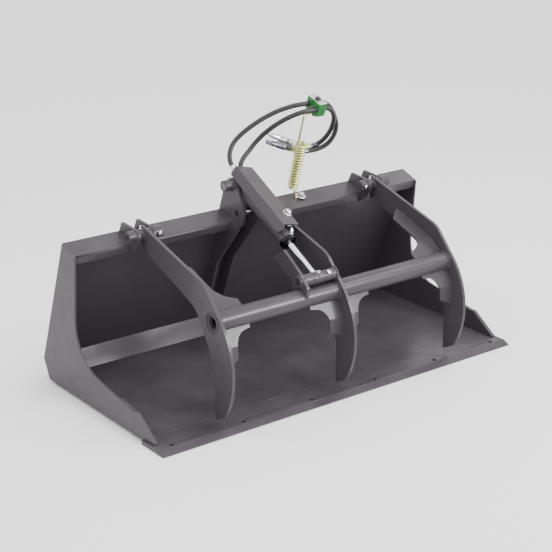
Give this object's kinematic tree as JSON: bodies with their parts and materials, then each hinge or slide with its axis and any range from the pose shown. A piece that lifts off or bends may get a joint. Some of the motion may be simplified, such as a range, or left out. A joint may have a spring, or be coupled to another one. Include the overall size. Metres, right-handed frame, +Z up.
{
  "type": "grapple bucket",
  "caption": "Skid steer bucket with a hinged grapple of curved tines on a cross tube, closed by a hydraulic cylinder whose hoses ride on a spring post.",
  "frame": {"origin": "middle of the box on the ground plane, without the hoses", "axes": "+Z up, +Y from the cutting edge to the loader, +X to the right of someone facing the back from the edge"},
  "size_m": [1.697, 0.9284, 1.0417],
  "materials": {
    "grey_paint": "semi-gloss warm dark grey paint over welded plate",
    "pin_steel": "turned bare steel",
    "bright_zinc": "bright zinc plate",
    "yellow_zinc": "pale yellow zinc plate on spring wire",
    "coupler_steel": "zinc-nickel plated couplers",
    "clamp_plastic": "green moulded plastic",
    "hose_rubber": "wrapped hydraulic hose cover",
    "chrome": "hard chrome, polished"
  },
  "bodies": {
    "bucket": {"cutting_edge": "grey_paint", "floor_plate": "grey_paint", "knee_plate": "grey_paint", "back_plate": "grey_paint", "side_plate_left": "grey_paint", "side_plate_right": "grey_paint", "side_cutter_left": "grey_paint", "side_cutter_right": "grey_paint", "wear_strips": "grey_paint", "top_tube": "grey_paint", "tower_plate_left": "grey_paint", "tower_plate_right": "grey_paint", "hinge_ear_left_outer": "grey_paint", "hinge_ear_left_inner": "grey_paint", "hinge_ear_right_inner": "grey_paint", "hinge_ear_right_outer": "grey_paint", "hinge_ear_centre": "grey_paint", "hinge_pin_left": "pin_steel", "hinge_pin_centre": "pin_steel", "hinge_pin_right": "pin_steel", "base_pin": "pin_steel", "pin_keeper_bolts": "bright_zinc", "attach_hook_rail": "grey_paint", "attach_latch_rail": "grey_paint", "attach_end_plates": "grey_paint", "hose_spring": "yellow_zinc", "spring_bolt": "bright_zinc", "hose_clamp_lower": "clamp_plastic", "hose_clamp_upper": "clamp_plastic", "clamp_cover": "bright_zinc", "clamp_bolt": "bright_zinc", "base_hose": "hose_rubber", "rod_hose": "hose_rubber", "coupler_front": "coupler_steel", "coupler_rear": "coupler_steel"},
    "grapple": {"tine_left": "grey_paint", "tine_centre": "grey_paint", "tine_right": "grey_paint", "hub_left": "grey_paint", "hub_centre": "grey_paint", "hub_right": "grey_paint", "cross_tube": "grey_paint", "gussets_upper": "grey_paint", "gussets_lower": "grey_paint", "rod_lug": "grey_paint", "rod_boss_left": "grey_paint", "rod_boss_right": "grey_paint", "rod_pin_outer": "pin_steel", "rod_keeper_bolt": "bright_zinc"},
    "barrel": {"cylinder_barrel": "grey_paint", "cylinder_gland": "grey_paint", "hose_elbows": "bright_zinc", "cylinder_guard": "grey_paint", "guard_bracket": "grey_paint", "guard_bolt": "bright_zinc"},
    "rod": {"piston_rod": "chrome", "piston": "pin_steel", "rod_eye": "grey_paint", "rod_pin_middle": "pin_steel"}
  },
  "joints": [
    {"name": "grapple_hinge", "type": "hinge", "parent": "bucket", "child": "grapple", "pos_m": [0, 0.10082, 0.61798], "axis": [-1, 0, 0], "range_deg": [0, 65]},
    {"name": "cylinder_swing", "type": "hinge", "parent": "bucket", "child": "barrel", "pos_m": [-0.091, 0.13701, 0.72496], "axis": [-1, 0, 0], "range_deg": [0, 61], "deforming": ["base_hose", "rod_hose"]},
    {"name": "rod_slide", "type": "slide", "parent": "barrel", "child": "rod", "axis": [0, -0.882, -0.4713], "range_m": [-0.117, 0]}
  ],
  "couplings": [
    {"joint": "cylinder_swing", "follows": "grapple_hinge", "ratio": 0.9375},
    {"joint": "rod_slide", "follows": "grapple_hinge", "m_per_rad": -0.10271}
  ]
}
